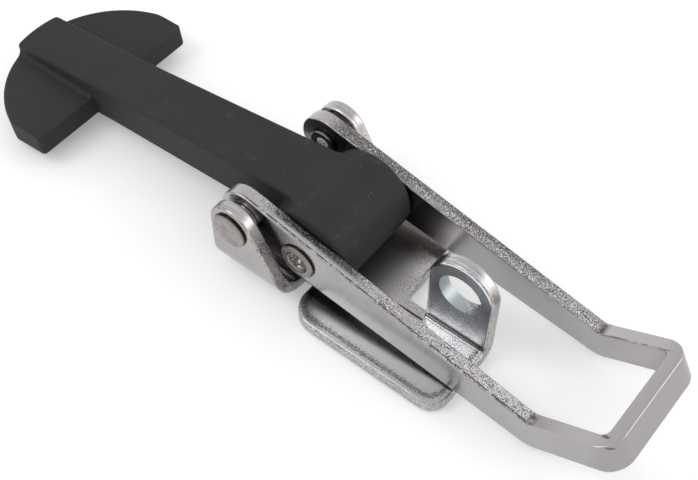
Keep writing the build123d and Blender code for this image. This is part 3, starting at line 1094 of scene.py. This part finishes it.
@dataclass
class LeverAssembly:
    """The cranked lever and the draw pin."""

    nodes: Nodes
    end_radius: float = 5.75
    dish_depth: float = 0.4
    grooved_within: float = 25.0
    grooves: tuple[Groove, ...] = (Groove(3.6, 0.35), Groove(4.7, 0.2, 0.4))
    upset: Upset = Upset(Body.LEVER, radius=3.1, ridge=0.22, lumps=0.2, finish=CrumpledFinish(
        "crumpled_zinc_on_draw_pin", level=0.61))

    def dress(self) -> None:
        """Gives the lever's solids their finishes and crumples the draw pin's closed ends."""
        ends = PinEnds(*box_in_mm("draw_pin"), self.end_radius)
        strip = StripFinish("zinc_on_bent_strip", ends.crevice_shade())
        paint(self.nodes["lever"], strip.material())
        pin = PinFinish("zinc_on_draw_pin", tuple(ends.axis()), self.grooves, self.grooved_within)
        paint(self.nodes["draw_pin"], pin.material())
        for side in Side:
            floor = ends.axis(side.value * (ends.high.y - self.dish_depth))
            self.upset.build(f"draw_pin_upset_{side.name.lower()}", floor, side.value)


@dataclass
class StrapAssembly:
    """The rubber T-draw."""

    nodes: Nodes
    rubber: RubberFinish = RubberFinish("charcoal_rubber")
    rest_clearance: float = 0.3
    sheet: float = 4.2
    boss_clearance: float = 5.9

    def dress(self) -> None:
        """Gives the strap its finish and its parting line."""
        rubber = self.rubber.material()
        paint(self.nodes["rubber_draw"], rubber)
        low, high = box_in_mm("draw_pin")
        centre = (low + high) / 2
        radius = centre.z - self.sheet - self.rest_clearance
        bead = PartingLine().build(centre, radius, high.y - self.boss_clearance)
        paint(bead, rubber)
        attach(bead, Body.STRAP.value)


@dataclass(frozen=True)
class Softbox:
    """A square area light that faces the latch, with its place and side in metres."""

    name: str
    place: Triple
    size: float
    watts: float

    def build(self) -> None:
        """Hangs the light."""
        lamp = bpy.data.lights.new(self.name, "AREA")
        lamp.size = self.size
        lamp.energy = self.watts
        softbox = bpy.data.objects.new(self.name, lamp)
        bpy.context.scene.collection.objects.link(softbox)
        softbox.location = self.place
        softbox.rotation_euler = Vector(self.place).to_track_quat("Z", "Y").to_euler()


@dataclass
class Studio:
    """Pale floor, soft light, world and camera."""

    camera_place: Triple = (150.7, -161.8, 288.6)
    azimuth: float = math.radians(38.576)
    elevation: float = math.radians(53.563)
    lens: float = 61.48
    sensor: float = 36.0
    clip_start: float = 0.01
    floor_size: float = 3.0
    floor_gap: float = 0.4
    floor_colour: Colour = (0.88, 0.88, 0.88, 1.0)
    floor_glow: float = 0.2
    horizon: Colour = (1.0, 1.0, 1.0, 1.0)
    zenith: Colour = (0.86, 0.87, 0.88, 1.0)
    sky_levels: tuple[Pair, ...] = ((0.3, 0.97), (0.5, 0.88), (0.8, 0.84))
    sky_blue: float = 1.01
    softboxes: tuple[Softbox, ...] = (
        Softbox("flange_light", (-0.36, -0.39, 0.72), 0.36, 1.25),
        Softbox("crown_light", (0.62, 0.42, 0.36), 0.45, 1.2))

    def add_camera(self) -> None:
        """Places the scene's camera."""
        camera = bpy.data.objects.new("camera", bpy.data.cameras.new("camera"))
        bpy.context.scene.collection.objects.link(camera)
        camera.data.lens = self.lens
        camera.data.sensor_width = self.sensor
        camera.data.clip_start = self.clip_start
        camera.location = Vector(self.camera_place) * MM
        right = Vector((math.cos(self.azimuth), math.sin(self.azimuth), 0))
        level = Vector((math.sin(self.azimuth), -math.cos(self.azimuth), 0)) * math.cos(self.elevation)
        back = level + Vector((0, 0, math.sin(self.elevation)))
        camera.rotation_euler = Matrix((right, back.cross(right), back)).transposed().to_euler()
        bpy.context.scene.camera = camera

    def add_world(self) -> None:
        """A soft studio sky, white at the horizon."""
        graph = Graph("studio", world=True)
        bpy.context.scene.world = graph.owner
        sky = graph.node("ValToRGB", {0: graph.part(graph.coordinates["Generated"], Axis.Z)})
        low, high = sky.color_ramp.elements
        low.position, low.color = 0.0, self.horizon
        high.position, high.color = 1.0, self.zenith
        for place, level in self.sky_levels:
            sky.color_ramp.elements.new(place).color = (level, level, level * self.sky_blue, 1.0)
        graph.feed(graph.end, graph.node("Background", {0: sky.outputs[0]}).outputs[0])

    def add_floor(self) -> None:
        """A pale matte floor just under the latch, whose glow is only seen and mirrored."""
        shape = bmesh.new()
        bmesh.ops.create_grid(shape, x_segments=1, y_segments=1, size=self.floor_size / 2)
        bmesh.ops.translate(shape, verts=shape.verts, vec=(0, 0, -self.floor_gap * MM))
        floor = finished(shape, "floor", smooth=False)
        graph = Graph("pale_floor")
        path = graph.node("LightPath", {}).outputs
        seen = graph.most(*(path[ray] for ray in ("Is Camera Ray", "Is Glossy Ray", "Is Transmission Ray")))
        matte = graph.node("BsdfDiffuse", {0: self.floor_colour}).outputs[0]
        glow = graph.node("Emission", {1: graph.times(seen, self.floor_glow)}).outputs[0]
        graph.feed(graph.end, graph.node("AddShader", {0: matte, 1: glow}).outputs[0])
        floor.data.materials.append(graph.owner)

    def build(self) -> None:
        """Builds the whole stage."""
        self.add_world()
        self.add_floor()
        for softbox in self.softboxes:
            softbox.build()
        self.add_camera()
        bpy.context.scene.view_settings.view_transform = "Standard"


def box_in_mm(name: str) -> tuple[Vector, Vector]:
    """The lowest and highest corner of one of the frame's solids, in millimetres."""
    low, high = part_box(name)
    return low / MM, high / MM


def finished(shape: bmesh.types.BMesh, name: str, smooth: bool = True) -> Object:
    """Turns a bmesh into an object of the scene.

    Args:
        shape: the shape, which is freed.
        name: the object's name.
        smooth: whether its faces are shaded smooth.

    Returns:
        The new object.
    """
    mesh = bpy.data.meshes.new(name)
    for face in shape.faces:
        face.smooth = smooth
    shape.to_mesh(mesh)
    shape.free()
    piece = bpy.data.objects.new(name, mesh)
    bpy.context.scene.collection.objects.link(piece)
    return piece


def paint(piece: Object, material: Material) -> None:
    """Gives a piece one material and logs it.

    Args:
        piece: the object to paint.
        material: its finish.
    """
    piece.data.materials.clear()
    piece.data.materials.append(material)
    log.info("%s: %s", piece.name, material.name)


def main() -> None:
    """Loads the frame, dresses it and sets the stage."""
    logging.basicConfig(level=logging.INFO, format="%(name)s: %(message)s")
    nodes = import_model()["nodes"]
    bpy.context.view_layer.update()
    for assembly in (BaseAssembly, LeverAssembly, StrapAssembly):
        assembly(nodes).dress()
    Studio().build()


if __name__ == "__main__":
    main()
